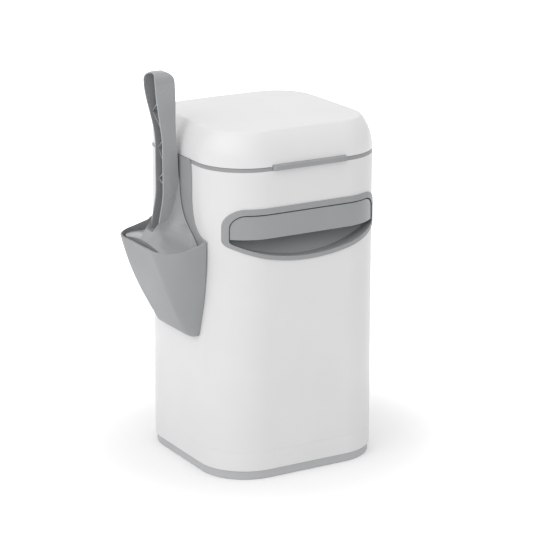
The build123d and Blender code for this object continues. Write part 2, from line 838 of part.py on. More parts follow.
def scoop_root():
    """Solid neck where the handle's sides flare into the pan's sloping end wall."""
    half, top, low = shoulder_half, shoulder_z, pan_top_z
    waist, neck = handle_waist, neck_z
    at_back = [(half, top), (half - 21, top + 18), (waist + 9, top + 42), (waist, neck + 16)]
    at_rail = [(half, top - 2), (waist * 2, top + 2), (waist + 2.5, top + 5), (waist + 2, neck - 20)]
    faces = [
        flare_face(scoop_back_x, half, low, at_back),
        flare_face(rail_x, half, low, at_rail),
    ]
    root = loft(faces, ruled=True)
    wide = [(half, top - 2), (half / 2, top + 2), (half / 4, top + 5), (0, top + 5)]
    flat = [(half, top - 5), (half / 2, top - 3), (half / 4, top - 2), (0, top - 2)]
    under_rail = rail_x + roof_lap
    roof = loft(
        [flare_face(under_rail, half, low, wide), flare_face(pan_rim_x, half, low, flat)],
        ruled=True,
    )
    corners = roof.edges().filter_by(Axis.Z).group_by(Axis.X)[0]
    return root + fillet(corners, roof_corner_r)


def root_room():
    """Hollow under the neck and the end wall."""
    half, top, low = shoulder_half - scoop_t, shoulder_z - scoop_t, shoulder_z - 30.0
    at_back = [(half, top - 1), (half - 21, top + 15), (half / 3, top + 20), (0, top + 20)]
    at_rail = [(half, top - 4), (half / 2, top - 1), (half / 4, top + 3), (0, top + 3)]
    at_rim = [(half, top - 7), (half / 2, top - 6), (half / 4, top - 5), (0, top - 5)]
    inner = loft([
        flare_face(scoop_back_x - scoop_t, half, low, at_back),
        flare_face(rail_x, half, low, at_rail),
    ], ruled=True)
    outer = loft([
        flare_face(rail_x, half, low, at_rail),
        flare_face(pan_rim_x - 4.0, half, low, at_rim),
    ], ruled=True)
    return inner + outer


def grip_side(inset):
    """Side view of the grip, (x, z): it leans out from the body and ends in a round loop."""
    back = scoop_back_x - inset
    top = handle_top_z - inset
    back_edge = Spline(
        (back, shoulder_z),
        (back, neck_z - 12),
        (back - handle_lean * 0.45, neck_z + 40),
        (back - handle_lean, handle_top_z - 40),
        (back - handle_lean - 1.5, top),
    )
    if inset:
        front = [(back_edge @ 1).X - far, (back_edge @ 0).X - far]
        outline = Polyline(back_edge @ 1, (front[0], top), (front[1], shoulder_z), back_edge @ 0)
        face = make_face(back_edge.edges() + outline.edges())
        return fillet(face.vertices().sort_by_distance(back_edge @ 1)[0], handle_loop_r - inset)
    tip_x = (back_edge @ 1).X - handle_depth + 2.5
    front_edge = Spline(
        (tip_x, top),
        (tip_x + 0.8, handle_top_z - 40),
        (scoop_back_x - handle_depth + 1.0, neck_z + 30),
        (scoop_back_x - handle_depth + 0.5, neck_z - 15),
        (rail_x, rail_foot_z),
        (rail_x, shoulder_z),
    )
    tip = (tip_x, top)
    ends = Line(back_edge @ 1, tip) + Line(front_edge @ 1, back_edge @ 0)
    face = make_face(back_edge.edges() + front_edge.edges() + ends.edges())
    corners = [face.vertices().sort_by_distance(p)[0] for p in (back_edge @ 1, Vector(*tip))]
    return fillet(corners, handle_loop_r)


def grip_front(inset):
    """Front view of the grip, (y, z): a narrow waist and a round top."""
    foot, waist, head = handle_half_w + 0.5 - inset, handle_waist - inset, handle_half_w - inset
    top = handle_top_z - inset
    arc_z = handle_top_z - 32.0
    right = ThreePointArc((foot, shoulder_z), (waist, (arc_z + shoulder_z) / 2), (head, arc_z))
    left = ThreePointArc((-head, arc_z), (-waist, (arc_z + shoulder_z) / 2), (-foot, shoulder_z))
    cap = Polyline((head, arc_z), (head, top), (-head, top), (-head, arc_z))
    foot_line = Line((-foot, shoulder_z), (foot, shoulder_z))
    face = make_face(right.edges() + cap.edges() + left.edges() + foot_line.edges())
    corners = [v for v in face.vertices() if abs(v.Y - top) < 0.01]
    return fillet(corners, head - 1.0)


def grip_form(inset):
    side = front_prism(grip_side(inset), -handle_half_w - 2.0, handle_half_w + 2.0)
    return side & extrude(Plane.YZ * grip_front(inset), far, both=True)


def channel_floor():
    """Everything above the slope that closes the grip's channel at the pan."""
    points = [
        (scoop_back_x, shoulder_z + 24.0),
        (rail_x - 10.0, shoulder_z + 7.0),
        (rail_x - 10.0, far * 2),
        (scoop_back_x, far * 2),
    ]
    return front_prism(make_face(Polyline(*points, close=True)), -far / 2, far / 2)


def grip_ribs():
    """V-shaped ribs across the channel, each with its point at the back rail."""
    ribs = []
    edge = handle_half_w + 1.0
    for high, point, low in v_ribs:
        for end in (high, low):
            strip = make_face(rib_outline((-edge, end), (edge - scoop_t, point)))
            ribs.append(extrude(Plane.YZ * strip, far, both=True))
    return ribs


def rib_outline(start, end):
    """A thin strip between two points."""
    along = (Vector(*end) - Vector(*start)).normalized()
    across = Vector(-along.Y, along.X) * (rib_v_t / 2)
    a, b = Vector(*start), Vector(*end)
    return Polyline(a + across, b + across, b - across, a - across, close=True)


def make_scoop():
    """Slotted pan with a sloping end wall and a channel-shaped grip braced by V ribs."""
    low = pouch_low_z + pouch_t + scoop_tip_gap
    high = pan_top_z
    pan = pan_form(0, low, high)
    pan = pan & round_foot(pouch_low_half - scoop_side_gap, low, scoop_tip_r)
    pan += scoop_root()
    pan -= pan_form(scoop_t, low + scoop_t, high)
    pan -= root_room()
    grip = grip_form(0) - (grip_form(scoop_t) & channel_floor())
    room = grip_form(scoop_t) & channel_floor()
    scoop = pan - room + grip
    inside = grip_form(scoop_t / 2) & (Pos(rib_v_recess, 0, 0) * grip_form(0)) & channel_floor()
    for rib in grip_ribs():
        scoop += rib & inside
    for i in range(slot_count):
        y = (i - (slot_count - 1) / 2) * slot_pitch
        slot = SlotOverall(slot_high_z - slot_low_z, slot_w, rotation=90)
        slot = Plane.YZ * (Pos(y, (slot_low_z + slot_high_z) / 2) * slot)
        scoop -= Pos(scoop_back_x, 0, 0) * extrude(slot, scoop_t * 2, both=True)
    return scoop


# ---- All pieces ----
def pieces():
    """Every piece by name."""
    made = {
        "base_foot": make_base_foot(),
        "base_tray": make_base_tray(),
        "base_screws": make_base_screws(),
        "base_hinge_pin": make_hinge_pin(base_hinge_w, base_hinge_z),
        "outer_shell": make_outer_shell(),
        "top_deck": make_top_deck(),
        "deck_screws": make_deck_screws(),
        "lid_hinge_pin": make_hinge_pin(lid_hinge_w, lid_hinge_z),
        "refill_cartridge": make_refill_cartridge(),
        "film_pack": make_film_pack(),
        "cartridge_cover": make_cartridge_cover(),
        "gate_frame": make_gate_frame(),
        "fixed_jaw": make_fixed_jaw(),
        "fixed_jaw_seal": make_fixed_jaw_seal(),
        "cutter_guard": make_cutter_guard(),
        "cutter_blade": make_cutter_blade(),
        "handle_bezel": make_handle_bezel(),
        "scoop_holder": make_scoop_holder(),
        "gate_plate": make_gate_plate(),
        "gate_seal": make_gate_seal(),
        "pull_bar": make_pull_bar(),
        "arm_screws": make_arm_screws(),
        "lid_shell": make_lid_shell(),
        "lid_liner": make_lid_liner(),
        "lid_seal": make_lid_seal(),
        "scoop": make_scoop(),
    }
    for name, side in (("left", -1), ("right", 1)):
        made["pull_arm_" + name] = make_pull_arm(side)
        made["return_spring_" + name] = make_spring(side)
    return made


os.makedirs("parts", exist_ok=True)
for node, shape in pieces().items():
    export_step(shape, f"parts/{node}.step")
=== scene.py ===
import json
import math

import bmesh
import bpy
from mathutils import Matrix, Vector


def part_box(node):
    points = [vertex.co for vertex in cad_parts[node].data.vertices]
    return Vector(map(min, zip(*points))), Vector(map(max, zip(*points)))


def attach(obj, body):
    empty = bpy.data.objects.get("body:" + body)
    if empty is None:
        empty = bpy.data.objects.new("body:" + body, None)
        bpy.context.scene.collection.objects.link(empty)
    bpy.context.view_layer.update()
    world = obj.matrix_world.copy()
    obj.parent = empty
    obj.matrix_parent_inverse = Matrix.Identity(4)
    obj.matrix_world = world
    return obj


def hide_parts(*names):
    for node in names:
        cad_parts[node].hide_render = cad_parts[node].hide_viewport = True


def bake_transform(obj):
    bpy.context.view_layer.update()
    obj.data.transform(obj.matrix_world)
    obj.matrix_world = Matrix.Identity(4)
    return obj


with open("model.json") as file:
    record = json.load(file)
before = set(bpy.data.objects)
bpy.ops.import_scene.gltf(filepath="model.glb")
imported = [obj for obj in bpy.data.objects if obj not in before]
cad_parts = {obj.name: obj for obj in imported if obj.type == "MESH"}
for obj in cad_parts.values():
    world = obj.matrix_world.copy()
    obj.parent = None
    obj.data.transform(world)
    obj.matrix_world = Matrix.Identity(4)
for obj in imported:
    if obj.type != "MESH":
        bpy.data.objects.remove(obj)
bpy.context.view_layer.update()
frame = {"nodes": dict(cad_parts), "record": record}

# A litter disposal pail: its finishes, the finer forms of its mouldings, the scoop, the small
# parts that repeat, the studio and the camera.
# Metres, +Z up. The pull handle faces -Y and the scoop hangs on the -X side.

MM = 0.001


# ---- Colours and nodes ----
def linear(code):
    """An sRGB hex colour as the linear colour that a shader works in."""
    values = [int(code[i:i + 2], 16) / 255 for i in (1, 3, 5)]
    curve = [v / 12.92 if v <= 0.04045 else ((v + 0.055) / 1.055) ** 2.4 for v in values]
    return (*curve, 1.0)


def add(tree, kind, settings=(), values=(), links=()):
    """Adds a node: settings are its own choices, values go on its sockets, links feed sockets.

    A link comes from an output, or from a node's first output.
    """
    node = tree.nodes.new(kind)
    for name, value in dict(settings).items():
        setattr(node, name, value)
    for socket, value in dict(values).items():
        node.inputs[socket].default_value = value
    for socket, source in dict(links).items():
        output = source.outputs[0] if isinstance(source, bpy.types.Node) else source
        tree.links.new(output, node.inputs[socket])
    return node


def per_metre(size_mm):
    """Texture scale that gives features of about this size."""
    return 1.0 / (size_mm * MM)


def new_material(name):
    material = bpy.data.materials.new(name)
    material.use_nodes = True
    material.node_tree.nodes.clear()
    return material, material.node_tree


# ---- Materials ----
# Sizes of the patterns, in millimetres, and how much each changes the gloss
FLOW_MM = 70             # slow marks where the melt flowed into the tool
SCUFF_MM = 45            # handling scuffs
SCUFF_STRETCH = 14.0     # how much longer than wide a scuff is
SCUFF_ROUGH = 0.07       # how much rougher a scuff is
FLOW_ROUGH = 0.03        # how much the gloss swings along a flow mark
COAT_ROUGH = 0.08
CLOUD_MM = 6             # cloudiness of a plated surface
DRAW_STRETCH = 18.0      # how much longer than wide a drawing line is
DRAW_DEPTH = 0.02        # depth of a drawing line
CREASE_MM = 5            # creases in blown film
CREASE_STRETCH = 9.0
CREASE_DEPTH = 0.3


def moulded(name, colour, shade, rough, grain_mm, grain_depth, ior=1.5, coat=0.0, sheen=0.5):
    """Injection-moulded plastic: spark-eroded grain, slow flow marks and faint handling scuffs."""
    material, tree = new_material(name)
    place = add(tree, "ShaderNodeTexCoord").outputs["Object"]
    flow = add(tree, "ShaderNodeTexNoise", links={"Vector": place},
               values={"Scale": per_metre(FLOW_MM), "Detail": 3.0, "Roughness": 0.45})
    grain = add(tree, "ShaderNodeTexNoise", links={"Vector": place},
                values={"Scale": per_metre(grain_mm), "Detail": 2.0, "Roughness": 0.6})
    drawn = add(tree, "ShaderNodeMapping", links={"Vector": place},
                values={"Rotation": (0.3, 0.5, 0.9), "Scale": (1.0, SCUFF_STRETCH, 1.0)})
    scuff = add(tree, "ShaderNodeTexNoise", links={"Vector": drawn.outputs[0]},
                values={"Scale": per_metre(SCUFF_MM), "Detail": 6.0, "Roughness": 0.75})
    scuffed = add(tree, "ShaderNodeMapRange", links={"Value": scuff.outputs["Fac"]},
                  values={"From Min": 0.60, "From Max": 0.78})
    tone = add(tree, "ShaderNodeMapRange", links={"Value": flow.outputs["Fac"]},
               values={"From Min": 0.3, "From Max": 0.7})
    base = add(tree, "ShaderNodeMix", {"data_type": "RGBA"},
               {6: linear(colour), 7: linear(shade)}, {0: tone.outputs[0]})
    swirl = add(tree, "ShaderNodeMapRange", links={"Value": flow.outputs["Fac"]},
                values={"From Min": 0.3, "From Max": 0.7,
                        "To Min": rough - FLOW_ROUGH, "To Max": rough + FLOW_ROUGH})
    gloss = add(tree, "ShaderNodeMath", {"operation": "MULTIPLY_ADD"}, {1: SCUFF_ROUGH},
                {0: scuffed.outputs[0], 2: swirl.outputs[0]})
    bump = add(tree, "ShaderNodeBump", values={"Strength": 0.5, "Distance": grain_depth * MM},
               links={"Height": grain.outputs["Fac"]})
    shader = add(tree, "ShaderNodeBsdfPrincipled",
                 values={"IOR": ior, "Specular IOR Level": sheen, "Coat Weight": coat,
                         "Coat Roughness": COAT_ROUGH},
                 links={"Base Color": base.outputs[2], "Roughness": gloss.outputs[0],
                        "Normal": bump.outputs[0]})
    add(tree, "ShaderNodeOutputMaterial", links={"Surface": shader.outputs[0]})
    return material


def metal(name, colour, rough, streak_mm, turn):
    """Drawn or plated steel: fine lines along the draw, with a little cloudiness in the gloss."""
    material, tree = new_material(name)
    place = add(tree, "ShaderNodeTexCoord").outputs["Object"]
    drawn = add(tree, "ShaderNodeMapping", links={"Vector": place},
                values={"Rotation": turn, "Scale": (1.0, DRAW_STRETCH, DRAW_STRETCH)})
    streaks = add(tree, "ShaderNodeTexNoise", links={"Vector": drawn.outputs[0]},
                  values={"Scale": per_metre(streak_mm), "Detail": 4.0})
    cloud = add(tree, "ShaderNodeTexNoise", links={"Vector": place},
                values={"Scale": per_metre(CLOUD_MM), "Detail": 3.0})
    both = add(tree, "ShaderNodeMath", {"operation": "ADD"}, {},
               {0: streaks.outputs["Fac"], 1: cloud.outputs["Fac"]})
    gloss = add(tree, "ShaderNodeMapRange", links={"Value": both.outputs[0]},
                values={"From Min": 0.6, "From Max": 1.4,
                        "To Min": rough - 0.08, "To Max": rough + 0.12})
    bump = add(tree, "ShaderNodeBump", values={"Strength": 0.25, "Distance": DRAW_DEPTH * MM},
               links={"Height": streaks.outputs["Fac"]})
    shader = add(tree, "ShaderNodeBsdfPrincipled",
                 values={"Base Color": linear(colour), "Metallic": 1.0},
                 links={"Roughness": gloss.outputs[0], "Normal": bump.outputs[0]})
    add(tree, "ShaderNodeOutputMaterial", links={"Surface": shader.outputs[0]})
    return material


def soft_film(name):
    """Blown multi-layer polyethylene film: milky, part see-through, with fine draw creases."""
    material, tree = new_material(name)
    place = add(tree, "ShaderNodeTexCoord").outputs["Object"]
    drawn = add(tree, "ShaderNodeMapping", links={"Vector": place},
                values={"Scale": (1.0, 1.0, CREASE_STRETCH)})
    crease = add(tree, "ShaderNodeTexNoise", links={"Vector": drawn.outputs[0]},
                 values={"Scale": per_metre(CREASE_MM), "Detail": 5.0, "Roughness": 0.6})
    tone = add(tree, "ShaderNodeMix", {"data_type": "RGBA"},
               {6: linear("#D3DADF"), 7: linear("#EEF1F3")}, {0: crease.outputs["Fac"]})
    bump = add(tree, "ShaderNodeBump", values={"Strength": 0.5, "Distance": CREASE_DEPTH * MM},
               links={"Height": crease.outputs["Fac"]})
    shader = add(tree, "ShaderNodeBsdfPrincipled",
                 values={"Roughness": 0.28, "IOR": 1.51, "Transmission Weight": 0.25},
                 links={"Base Color": tone.outputs[2], "Normal": bump.outputs[0]})
    add(tree, "ShaderNodeOutputMaterial", links={"Surface": shader.outputs[0]})
    return material


# White ABS from a spark-eroded tool: an even satin that hides fingerprints. The real grain is
# 0.15 mm, too fine to show, so it is drawn at 0.6 mm.
abs_satin_white = moulded("abs_satin_white", "#EBEBEB", "#E8E8E8", 0.42, 0.6, 0.012)
# White ABS from a polished tool: the lid's soft gloss, with broad blurred highlights.
abs_gloss_white = moulded("abs_gloss_white", "#EDEDED", "#EBEBEB", 0.33, 1.2, 0.004)
# Grey polypropylene from a textured tool: a cool grey with a low waxy sheen.
pp_satin_grey = moulded("pp_satin_grey", "#A3A5A7", "#9FA1A3", 0.50, 0.7, 0.016,
                        ior=1.49, sheen=0.35)
# The same grey, painted lighter for the foot: a painted highlight standing in for the light its
# rounded edges catch.
pp_grey_painted_highlight = moulded("pp_grey_painted_highlight", "#C0C2C4", "#BCBEC0", 0.45, 0.7, 0.016, ior=1.49)
# Grey polypropylene from a smoother tool: the scoop, brighter along its edges.
pp_gloss_grey = moulded("pp_gloss_grey", "#A1A3A5", "#9D9FA1", 0.26, 1.0, 0.008,
                        ior=1.49, coat=0.1)
# The pull bar's grey, a touch deeper, with the same fine grain.
pp_bar_grey = moulded("pp_bar_grey", "#9EA0A2", "#9A9C9E", 0.38, 0.7, 0.014, ior=1.49)
# Black acetal sliding parts: dense, slightly greasy sheen.
pom_black = moulded("pom_black", "#43464A", "#3D4043", 0.34, 0.9, 0.010, ior=1.48)
# High-impact polystyrene refill: pale, thin-walled, almost matt.
hips_pale = moulded("hips_pale", "#DADDDF", "#D3D6D8", 0.50, 0.8, 0.015, ior=1.59)
# Thermoplastic rubber: dark, matt and finely pebbled.
tpe_dark = moulded("tpe_dark", "#2B2C2E", "#242527", 0.68, 0.9, 0.05, ior=1.48)
# Blown film packed in the refill.
pe_film = soft_film("pe_film")
# Zinc-plated pins and screws: a bright, slightly cloudy blue-white.
zinc_steel = metal("zinc_steel", "#C3C6CA", 0.30, 3.0, (0.0, 0.0, 0.0))
# Hard-drawn spring wire with an oiled sheen.
spring_steel = metal("spring_steel", "#A6A8AB", 0.26, 2.0, (0.0, 0.0, 1.57))
# Ground blade steel.
blade_steel = metal("blade_steel", "#D2D4D6", 0.18, 1.2, (0.0, 0.0, 1.57))


# ---- Pieces taken from the CAD, with softened edges ----
# Each node's material, its slot, and the radius of its edges in millimetres
FINISHES = {
    # the foot's lighter grey is painted highlight, not a different plastic
    "base_foot": (pp_grey_painted_highlight, "grey_plastic", 0.5),
    "base_tray": (abs_satin_white, "white_plastic", 0.3),
    "outer_shell": (abs_satin_white, "white_plastic", 0.3),
    "top_deck": (pp_satin_grey, "grey_plastic", 0.5),
    "refill_cartridge": (hips_pale, "refill_plastic", 0.4),
    "cartridge_cover": (hips_pale, "refill_plastic", 0.8),
    "gate_frame": (pom_black, "dark_plastic", 0.4),
    "fixed_jaw": (pom_black, "dark_plastic", 0.4),
    "fixed_jaw_seal": (tpe_dark, "rubber", 0.8),
    "cutter_guard": (pp_satin_grey, "grey_plastic", 0.3),
    "handle_bezel": (pp_satin_grey, "grey_plastic", 1.2),
    "scoop_holder": (pp_satin_grey, "grey_plastic", 0.7),
    "gate_plate": (pom_black, "dark_plastic", 0.4),
    "gate_seal": (tpe_dark, "rubber", 0.8),
    "pull_bar": (pp_bar_grey, "dark_grey_plastic", 0.8),
    "lid_shell": (abs_gloss_white, "white_plastic", 0.5),
    "lid_liner": (pp_satin_grey, "grey_plastic", 0.8),
    "lid_seal": (tpe_dark, "rubber", 0.5),
}
PLAIN = {
    "base_hinge_pin": zinc_steel,
    "lid_hinge_pin": zinc_steel,
    "pull_arm_left": zinc_steel,
    "pull_arm_right": zinc_steel,
    "cutter_blade": blade_steel,
}
WELD = 0.000004          # vertices nearer than this are one
FLAT = math.radians(0.4)  # neighbouring facets within this angle are one face
SHARP = math.radians(32)  # edges sharper than this are rounded over
BODY_OF = {node: body for body, nodes in frame["record"]["behaviour"]["bodies"].items()
           for node in nodes}


# ---- Forms drawn finer than the CAD's ----
KNUCKLE_R = 4.5 * MM      # the hinge knuckles hang this far below the shell's lower edge
SEAM_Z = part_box("outer_shell")[0][2] + KNUCKLE_R
TAB_REACH = 5.2 * MM      # how far the thumb tab stands out in front
FRONT_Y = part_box("lid_liner")[0][1] + TAB_REACH
TAB_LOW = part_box("lid_liner")[0][2]
TAB_UNDER = 4 * MM        # how far the tab reaches below the lid's edge
LID_Z = TAB_LOW + TAB_UNDER
TAB_HALF = 50 * MM
TAB_H = 7 * MM
TAB_SLIM = 0.74           # share of its seat's height that the tab takes
NOTCH_LOW, NOTCH_HIGH = 1 * MM, 3.6 * MM    # where the notch's roof lies above the lid's edge
NOTCH_IN = 15 * MM        # how far in the notch reaches
SPARE = 0.1 * MM
SIDE_X = -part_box("outer_shell")[1][0]
POUCH_LOW_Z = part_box("scoop_holder")[0][2]
POUCH_H = 115 * MM
POUCH_RIM_Z = POUCH_LOW_Z + POUCH_H
POUCH_LOW_DEPTH, POUCH_RIM_DEPTH = 9.25 * MM, 56.25 * MM
POUCH_BULGE = 5.2 * MM    # how far its front bows out halfway up
POUCH_LOW_HALF, POUCH_RIM_HALF = 50 * MM, 69 * MM
POUCH_LOW_R, POUCH_RIM_R = 5 * MM, 17 * MM
POUCH_RIM_DROP = 4.5 * MM  # how much lower the rim's front edge is
POUCH_RIM_SPARE = 10 * MM  # nothing of the pouch stands further above its rim
POUCH_BACK = (3 * MM, 9 * MM)   # behind this depth it is the back plate, which stays as it is
POUCH_ROUND_LOW, POUCH_ROUND_RIM = 20 * MM, 34 * MM   # the corner's reach along the front
POUCH_THIN = 2 * MM       # the least that is left of its depth at a corner
POUCH_CUTS = ((1, 2.5 * MM), (2, 5 * MM), (0, 3 * MM))    # axis and spacing of the cuts
BAR_EASE = 0.7 * MM       # how much more the bar stands in from its surround
TRAY_ROUND = 0.5 * MM     # how far the tray's top edge comes down
TRAY_LOW, TRAY_HIGH = 0.6 * MM, 0.2 * MM    # where that edge lies below the seam


def between(value, low, high):
    """0 at low and 1 at high, eased at both ends."""
    share = min(max((value - low) / (high - low), 0.0), 1.0)
    return share * share * (3 - 2 * share)


def round_pouch(x, y, z):
    """The pouch's outer corners are rounder: each point keeps its share of the pouch's depth."""
    share = min((z - POUCH_LOW_Z) / (POUCH_RIM_Z - POUCH_LOW_Z), 1.0)
    depth = SIDE_X - x
    if depth <= 0:
        return x, y, z
    if z < POUCH_RIM_Z + POUCH_RIM_SPARE:
        slope = 0.4 + 0.6 * min(depth / POUCH_RIM_DEPTH, 1.0)
        z -= POUCH_RIM_DROP * slope * between(depth, *POUCH_BACK) * share ** 6
    reach = POUCH_LOW_DEPTH + (POUCH_RIM_DEPTH - POUCH_LOW_DEPTH) * share
    reach += 4 * POUCH_BULGE * share * (1 - share)
    half = POUCH_LOW_HALF + (POUCH_RIM_HALF - POUCH_LOW_HALF) * (1 - (1 - share) ** 2)
    old = POUCH_LOW_R + (POUCH_RIM_R - POUCH_LOW_R) * share
    wide = POUCH_ROUND_LOW + (POUCH_ROUND_RIM - POUCH_ROUND_LOW) * share
    deep = min(wide, reach - POUCH_THIN)
    into = min(abs(y) - (half - wide), wide)
    if into <= 0:
        return x, y, z
    into_old = min(max(abs(y) - (half - old), 0.0), old)
    cut_old = old - math.sqrt(old ** 2 - into_old ** 2)
    cut_new = deep * (1 - math.sqrt(1 - (into / wide) ** 2))
    return SIDE_X - depth * (reach - cut_new) / (reach - cut_old), y, z


def slim_tab(x, y, z):
    """The thumb tab is slimmer than its seat, so that its top lies close to the lid's edge."""
    if y < FRONT_Y + SPARE and abs(x) < TAB_HALF + MM:
        z = TAB_LOW + (z - TAB_LOW) * TAB_SLIM
    return x, y, z


def low_notch(x, y, z):
    """The lid's notch comes down onto the slimmer tab."""
    inside = y < FRONT_Y + NOTCH_IN and abs(x) < TAB_HALF + MM
    if inside and LID_Z + NOTCH_LOW < z < LID_Z + NOTCH_HIGH:
        z -= (1.0 - TAB_SLIM) * TAB_H
    return x, y, z


def round_tray(x, y, z):
    """The tray's top edge comes down a little where it meets the body."""
    if SEAM_Z - TRAY_LOW < z < SEAM_Z - TRAY_HIGH:
        z -= TRAY_ROUND
    return x, y, z


def eased_bar(x, y, z):
    """The bar stands a little further in from its surround."""
    low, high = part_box("pull_bar")
    share = (z - low[2]) / (high[2] - low[2])
    return x * (1.0 - BAR_EASE / high[0]), y, z - BAR_EASE * share


REFORMED = {
    "scoop_holder": round_pouch,
    "lid_liner": slim_tab,
    "lid_shell": low_notch,
    "base_tray": round_tray,
    "pull_bar": eased_bar,
}


def put(name, mesh, body, material, stands_for=()):
    """Shows a finished mesh: it rides on its body and stands for the CAD nodes named."""
    piece = bpy.data.objects.new(name, mesh)
    bpy.context.scene.collection.objects.link(piece)
    mesh.materials.clear()
    mesh.materials.append(material)
    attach(piece, body)
    if stands_for:
        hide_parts(*stands_for)
    return piece


def everything(form):
    return form.verts[:] + form.edges[:] + form.faces[:]


def cut_finely(form, node):
    """Cuts a form into small facets, so that it can bend smoothly."""
    low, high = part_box(node)
    for axis, step in POUCH_CUTS:
        for k in range(1, int((high[axis] - low[axis]) / step)):
            level = low[axis] + k * step
            across = [1.0 if i == axis else 0.0 for i in range(3)]
            bmesh.ops.bisect_plane(form, geom=everything(form),
                                   plane_co=[level * c for c in across], plane_no=across)


def softened(node):
    """A welded copy of a CAD node, with its sharp edges rounded and smooth shading."""
    material, slot, round_mm = FINISHES[node]
    mesh = frame["nodes"][node].data.copy()
    mesh.name = node + "_moulding"
    form = bmesh.new()
    form.from_mesh(mesh)
    bmesh.ops.remove_doubles(form, verts=form.verts, dist=WELD)
    if node == "scoop_holder":
        cut_finely(form, node)
    if node in REFORMED:
        for vert in form.verts:
            vert.co = REFORMED[node](*vert.co)
    bmesh.ops.dissolve_limit(form, angle_limit=FLAT, verts=form.verts, edges=form.edges)
    for face in form.faces:
        face.smooth = True
    form.to_mesh(mesh)
    form.free()
    piece = put(node + "_moulding", mesh, BODY_OF[node], material, [node])
    soften_edges(piece, round_mm)


def soften_edges(piece, round_mm):
    """Rounds the sharp edges and shades the faces by their size."""
    rounding = piece.modifiers.new("edge_radius", "BEVEL")
    rounding.width = round_mm * MM
    rounding.segments = 2
    rounding.limit_method = "ANGLE"
    rounding.angle_limit = SHARP
    rounding.use_clamp_overlap = True
    rounding.harden_normals = False
    shading = piece.modifiers.new("shading", "WEIGHTED_NORMAL")
    shading.keep_sharp = False


for node in FINISHES:
    softened(node)
for node, material in PLAIN.items():
    mesh = frame["nodes"][node].data
    mesh.materials.clear()
    mesh.materials.append(material)


# ---- Scoop ----
BACK_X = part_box("scoop")[1][0]
RAIL_DEPTH = 28.5 * MM    # from the scoop's back to the grip's front edges
ROOF_DEPTH = 44.8 * MM    # and to the roof's front edge
RAIL_X = BACK_X - RAIL_DEPTH
ROOF_RIM_X = BACK_X - ROOF_DEPTH
GRIP_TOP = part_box("scoop")[1][2]
SCOOP_T = 2 * MM          # thickness of its wall
PAN_TOP = 273.5 * MM      # the pan is as built up to here
ROOF_HALF = 57.4 * MM
ROOF_CORNER = 16 * MM
# Half width and height, in millimetres, of the curves that the neck is drawn through
NECK_BACK = ((57.4, 280.0), (40.0, 306.0), (10.2, 300.0), (10.2, 360.0))
NECK_RAIL = ((57.4, 280.5), (34.0, 287.0), (10.2, 285.0), (10.2, 306.0))
NECK_RIM = ((57.4, 280.0), (36.0, 283.5), (16.0, 285.0), (8.0, 285.5))
NECK_STEPS, NECK_ROWS = 14, 12
WELL_BACK_Z, WELL_RAIL_Z = 308 * MM, 296 * MM     # floor of the channel inside the neck
WELL_SPARE = 0.0002
NECK_CEILING = 306 * MM   # the neck is solid above this
GRIP_LOW_Z, GRIP_STEP, GRIP_STEPS = 285 * MM, 4.5 * MM, 42
GRIP_HEAD_Z, GRIP_HEAD_STEPS = 474 * MM, 8
GRIP_SIDE_R, GRIP_FRONT_R = 9 * MM, 13 * MM       # radii of its top, from the side and the front
GRIP_LEAN, LEAN_FROM, LEAN_POWER = 8.4 * MM, 339 * MM, 1.1
GRIP_DEPTH, GRIP_HALF = 139.6 * MM, 10.25 * MM
FOOT_OUT, FOOT_FROM, FOOT_TO = 7.5 * MM, 290 * MM, 345 * MM
HEAD_OUT, HEAD_OUT_FROM, HEAD_OUT_TO = 11.5 * MM, 396 * MM, 478 * MM
HEAD_WIDER, WIDER_FROM, WIDER_TO = 5.2 * MM, 412 * MM, 472 * MM
# Heights of each V rib, in millimetres: its high end, its point and its low end
RIBS = ((455, 438, 411.6), (409, 393, 373), (368, 356, 348.6))
RIB_HALF_T = 0.75 * MM
RIB_IN = 3.5 * MM         # how far the ribs stand in from the rails


def on_curve(controls, t):
    """A point on a cubic curve, in metres."""
    weights = ((1 - t) ** 3, 3 * t * (1 - t) ** 2, 3 * t * t * (1 - t), t ** 3)
    return [sum(w * c[i] for w, c in zip(weights, controls)) * MM for i in (0, 1)]


def quads(form, first, second, closed=True):
    """Faces between two rows of vertices."""
    count = len(first)
    for k in range(count if closed else count - 1):
        after = (k + 1) % count
        form.faces.new((first[k], first[after], second[after], second[k]))


